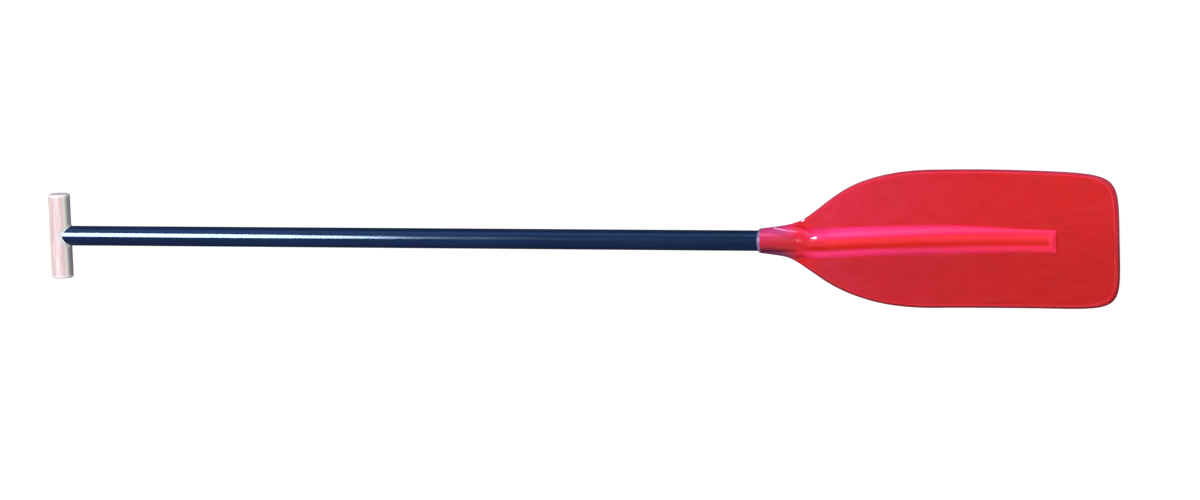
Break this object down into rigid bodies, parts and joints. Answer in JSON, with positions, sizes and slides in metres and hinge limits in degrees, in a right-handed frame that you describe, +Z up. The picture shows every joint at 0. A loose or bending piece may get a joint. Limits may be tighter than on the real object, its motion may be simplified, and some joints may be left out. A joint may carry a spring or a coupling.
{
  "type": "canoe paddle",
  "caption": "Straight single-bladed paddle: turned wooden T-grip, round sleeved aluminium shaft, and a broad moulded laminate blade with a spine on both faces.",
  "frame": {"origin": "centre of the bounding box, on the surface that the paddle lies on: it rests on the underside of the crossbar and the back of the blade's spine", "axes": "+X along the shaft from the T-grip to the blade, +Y along the crossbar, +Z up, out of the blade's front face"},
  "size_m": [1.5924, 0.1946, 0.0433],
  "materials": {
    "grip_wood": "sanded pale hardwood under a thin clear varnish",
    "spigot_wood": "bare, glued",
    "clear_glue": "clear cured resin, glossy",
    "aluminium": "drawn tube, satin",
    "navy_sleeve": "smooth glossy shrink sleeve",
    "plug_cork": "pressed cork",
    "bonding_resin": "cured adhesive",
    "red_laminate": "moulded glass laminate under red gloss gel coat",
    "core_wood": "light balsa core",
    "rim_resin": "dark red resin-rich edge"
  },
  "bodies": {
    "root": {"grip_bar": "grip_wood", "grip_dowel": "spigot_wood", "grip_glue_fillet": "clear_glue", "shaft_tube": "aluminium", "shaft_sleeve": "navy_sleeve", "tube_plug": "plug_cork", "socket_bond": "bonding_resin", "neck_bead": "clear_glue", "blade_front_skin": "red_laminate", "blade_back_skin": "red_laminate", "spine_core": "core_wood", "blade_rim": "rim_resin"}
  },
  "joints": []
}
